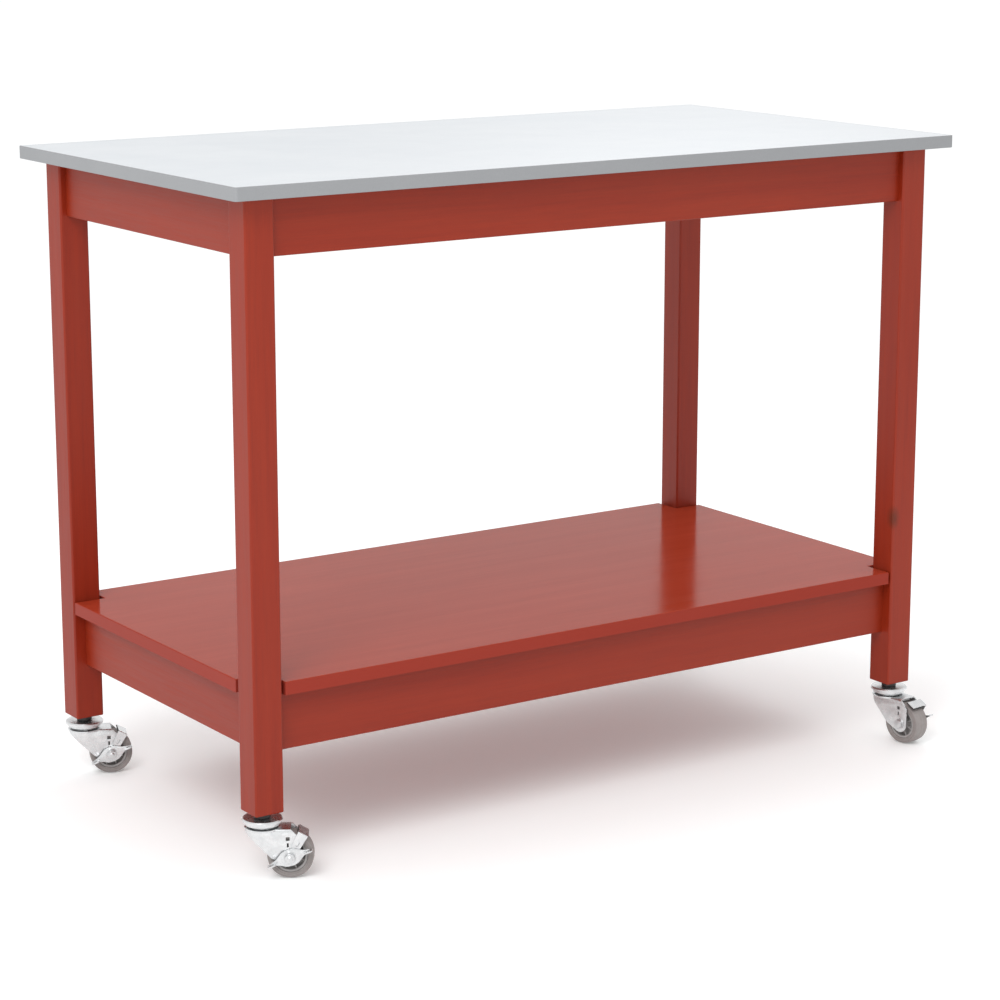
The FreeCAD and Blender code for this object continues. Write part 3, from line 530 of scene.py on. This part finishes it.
def makeLever(name, place, side):
    look = leverShape
    bm = bmesh.new()
    upper = look["corners"] + tuple((-x, z) for x, z in reversed(look["corners"]))
    outline = [bm.verts.new((x, 0, z)) for x, z in upper + tuple((x, -z) for x, z in reversed(upper))]
    made = bmesh.ops.extrude_face_region(bm, geom=[bm.faces.new(outline)])["geom"]
    raised = [part for part in made if isinstance(part, bmesh.types.BMVert)]
    bmesh.ops.translate(bm, vec=(0, side * look["sheet"], 0), verts=raised)
    tip = look["corners"][0][0] - 1
    bevelEdges(bm, lambda edge: along(edge, 1) and abs(edge.verts[0].co.x) < tip, look["cornerRound"], 4)
    bevelEdges(bm, lambda edge: not along(edge, 1) and edge.calc_face_angle(0) > 1, look["rimRound"])
    for centre in (-look["tabAway"], look["tabAway"]):
        addTab(bm, centre, side)
    spinRound(bm, [(radius, side * height) for radius, height in look["boss"]], 48)
    lean = Matrix.Rotation(math.radians(-look["tilt"]), 4, "Y")
    stand = Matrix.Translation((0, side * look["inner"], 0))
    finishPiece(bm, "rockerLever_" + name, place @ stand @ lean, "zinc", "brake_lever_" + name,
                "brake_lever_" + name)


def addTab(bm, centre, side):
    # a foot-worn tab bent out from the plate's end, with three pressed ridges
    look = leverShape
    middle = look["tabSize"][1] / 2
    inside = set(addBlock(bm, look["tabSize"], (centre, side * middle, 0)))
    outer = [edge for edge in bm.edges if set(edge.verts) <= inside and along(edge, 2)
             and abs(edge.verts[0].co.y) > middle]
    made = bevelled(bm, outer, look["tabRound"], 5)
    inside |= {vert for face in made["faces"] for vert in face.verts}
    rims = [edge for edge in bm.edges if set(edge.verts) <= inside and edge.calc_face_angle(0) > 1]
    bevelled(bm, rims, look["tabRim"])
    for step in (-1, 0, 1):
        ridge = bmesh.ops.create_cone(bm, cap_ends=True, segments=10, radius1=look["ridgeRadius"],
                                      radius2=look["ridgeRadius"], depth=look["ridgeLong"])["verts"]
        bmesh.ops.rotate(bm, cent=(0, 0, 0), matrix=Matrix.Rotation(math.pi / 2, 3, "X"), verts=ridge)
        spot = (centre + look["ridgePitch"] * step, side * look["ridgeAside"], look["ridgeLift"])
        bmesh.ops.translate(bm, vec=spot, verts=ridge)


padShape = {"lean": 61, "low": 33.95, "thick": 1.6, "long": 16.0, "wide": 25.6, "round": 0.5}


def makePad(name, place):
    # the rubber facing under the brake shoe's strip
    look = padShape
    bm = bmesh.new()
    addBlock(bm, (look["long"], look["wide"], look["thick"]), (0, 0, look["low"] + look["thick"] / 2))
    bevelEdges(bm, lambda edge: True, look["round"], 3)
    lean = Matrix.Rotation(math.radians(90 - look["lean"]), 4, "Y")
    finishPiece(bm, "brakeFacing_" + name, place @ lean, "pad", "brake_shoe_" + name, "brake_pad_" + name)


boltShape = {
    "cheek": 16.5, "radius": 4.0, "end": 30.1, "tip": 0.9,
    "flats": 13.0, "hexRound": 0.55, "headHigh": 5.2, "headTurn": 8,
    "nutBase": 21.25, "nutHigh": 6.4, "nutTurn": 21,
    "flange": ((4.0, 0), (7.9, 0), (8.2, 0.3), (8.2, 0.6), (7.9, 0.9), (4.0, 0.9)),
    "spacer": ((4.0, 0), (7.2, 0), (7.5, 0.3), (7.5, 1.7), (7.2, 2.0), (4.0, 2.0)),
    "pitch": 1.0, "crest": 0.15, "root": 0.55, "threadDeep": 0.45,
}


def makeHex(bm, start, height, way, degrees):
    # a six-sided block standing at start on the axle, its outer corners rounded off
    radius = boltShape["flats"] / math.sqrt(3)
    ring = bmesh.ops.create_circle(bm, cap_ends=True, segments=6, radius=radius)["verts"]
    made = bmesh.ops.extrude_face_region(bm, geom=[ring[0].link_faces[0]])["geom"]
    raised = [part for part in made if isinstance(part, bmesh.types.BMVert)]
    bmesh.ops.translate(bm, vec=(0, 0, height), verts=raised)
    rims = unique(edge for vert in ring + raised for edge in vert.link_edges)
    made = bevelled(bm, rims, boltShape["hexRound"], 3)
    block = unique(vert for face in made["faces"] for vert in face.verts)
    turn = Matrix.Rotation(-way * math.pi / 2, 3, "X") @ Matrix.Rotation(math.radians(degrees), 3, "Z")
    bmesh.ops.rotate(bm, cent=(0, 0, 0), matrix=turn, verts=block)
    bmesh.ops.translate(bm, vec=(0, start, 0), verts=block)


def makeBolt(name, place, side):
    look = boltShape
    cheek, radius, pitch = look["cheek"], look["radius"], look["pitch"]
    bm = bmesh.new()
    makeHex(bm, -side * cheek, look["headHigh"], -side, look["headTurn"])
    makeHex(bm, side * look["nutBase"], look["nutHigh"], side, look["nutTurn"])
    rings = (("flange", cheek, -side), ("flange", look["nutBase"], side), ("spacer", cheek, side))
    for ring, start, way in rings:
        spinRound(bm, [(wide, way * (start + height)) for wide, height in look[ring]], 48)
    height = cheek + look["spacer"][-1][1]
    shank = [(0, -cheek), (radius, -cheek), (radius, height)]
    while height < look["end"] - 1.2 * pitch:
        shank += [(radius, height + look["crest"] * pitch),
                  (radius - look["threadDeep"], height + look["root"] * pitch)]
        height += pitch
    shank += [(radius - 0.1, height), (radius - look["tip"], look["end"]), (0, look["end"])]
    spinRound(bm, [(wide, side * height) for wide, height in shank], 40, closed=False)
    finishPiece(bm, "axleBolt_" + name, place, "steel", "swivel_" + name, "axle_fasteners_" + name)


finishes = (
    ("worktop_core", "core"), ("worktop_backing", "laminate"), ("worktop_laminate", "laminate"),
    ("worktop_edge_band", "edge"), ("shelf_board", "shelf"), ("leg_front_right", "knotted"), ("leg_", "woodZ"),
    ("apron_front", "woodX"), ("apron_rear", "woodX"), ("apron_", "woodY"),
    ("rail_front", "woodX"), ("rail_rear", "woodX"), ("rail_", "woodY"),
    ("worktop_brackets", "zinc"), ("shelf_brackets", "zinc"), ("bracket_screws", "zinc"),
    ("caster_plate", "zinc"), ("fork_", "zinc"), ("brake_lever", "zinc"), ("brake_shoe", "zinc"),
    ("brake_pad", "pad"), ("axle_", "steel"), ("wheel_hub", "hub"), ("tyre_", "tyre"),
    ("caster_stems", "steel"), ("stem_collars", "collar"), ("swivel_balls", "steel"),
)
for name in frame["nodes"]:
    look = next(finish for start, finish in finishes if name.startswith(start))
    node = bpy.data.objects[name]
    node.data.materials.clear()
    node.data.materials.append(materials[look])
print("finishes given to the carried-over nodes")

for name in corners:
    casterFrame, axleFrame = casterPlace(name)
    makeTyre(name, axleFrame)
    makeHub(name, axleFrame)
    makeFork(name, casterFrame)
    makeLever(name, axleFrame, leverSide(name))
    makeBolt(name, axleFrame, leverSide(name))
    makePad(name, axleFrame)
print("casters detailed")

# Floor, light and camera
studio = {
    "floorSize": 60.0,
    "floorColour": (0.94, 0.95, 0.95),
    "floorGlow": 0.13,         # the table stands on a lit sheet, which softens its shadow
    "worldColour": (1.0, 1.0, 1.0),
    "worldStrength": 0.98,
    "lens": 103.67,
    "cameraPlace": (-2.3259, -3.4485, 1.3325),
    "cameraTurn": 34.11,       # degrees to the right of +Y
    "cameraDip": 12.731,
}
# each light's place, target, size and power
lights = {
    "keySoftbox": ((-2.6, -1.9, 2.9), (-0.3, 0, 0.4), 2.0, 61),
    "farSoftbox": ((1.5, 1.3, 2.2), (0.3, 0.2, 0.7), 1.4, 7.5),
}


def makeFloor():
    bm = bmesh.new()
    bmesh.ops.create_grid(bm, x_segments=2, y_segments=2, size=studio["floorSize"] / 2)
    mesh = bpy.data.meshes.new("studioFloor")
    bm.to_mesh(mesh)
    bm.free()
    floor = bpy.data.objects.new("studioFloor", mesh)
    bpy.context.scene.collection.objects.link(floor)
    material, tree, shader = newMaterial("floorPaper")
    shader.inputs["Base Color"].default_value = (*studio["floorColour"], 1)
    shader.inputs["Roughness"].default_value = 0.9
    shader.inputs["Emission Color"].default_value = (*studio["floorColour"], 1)
    shader.inputs["Emission Strength"].default_value = studio["floorGlow"]
    shader.inputs["Specular IOR Level"].default_value = 0.1
    mesh.materials.append(material)


def makeLight(name, place, target, size, power):
    light = bpy.data.lights.new(name, "AREA")
    light.shape = "DISK"
    light.size = size
    light.energy = power
    holder = bpy.data.objects.new(name, light)
    holder.location = place
    holder.rotation_euler = (Vector(target) - Vector(place)).to_track_quat("-Z", "Y").to_euler()
    bpy.context.scene.collection.objects.link(holder)


def makeStudio():
    makeFloor()
    world = bpy.data.worlds.new("studioWorld")
    world.use_nodes = True
    background = world.node_tree.nodes["Background"]
    background.inputs["Color"].default_value = (*studio["worldColour"], 1)
    background.inputs["Strength"].default_value = studio["worldStrength"]
    bpy.context.scene.world = world
    for name, light in lights.items():
        makeLight(name, *light)
    bpy.context.scene.view_settings.view_transform = "Standard"
    camera = bpy.data.objects.new("camera", bpy.data.cameras.new("camera"))
    camera.data.sensor_width = 36
    camera.data.lens = studio["lens"]
    camera.data.clip_end = 60
    camera.location = studio["cameraPlace"]
    camera.rotation_euler = (math.radians(90 - studio["cameraDip"]), 0, math.radians(-studio["cameraTurn"]))
    bpy.context.scene.collection.objects.link(camera)
    bpy.context.scene.camera = camera


makeStudio()
print("studio ready")
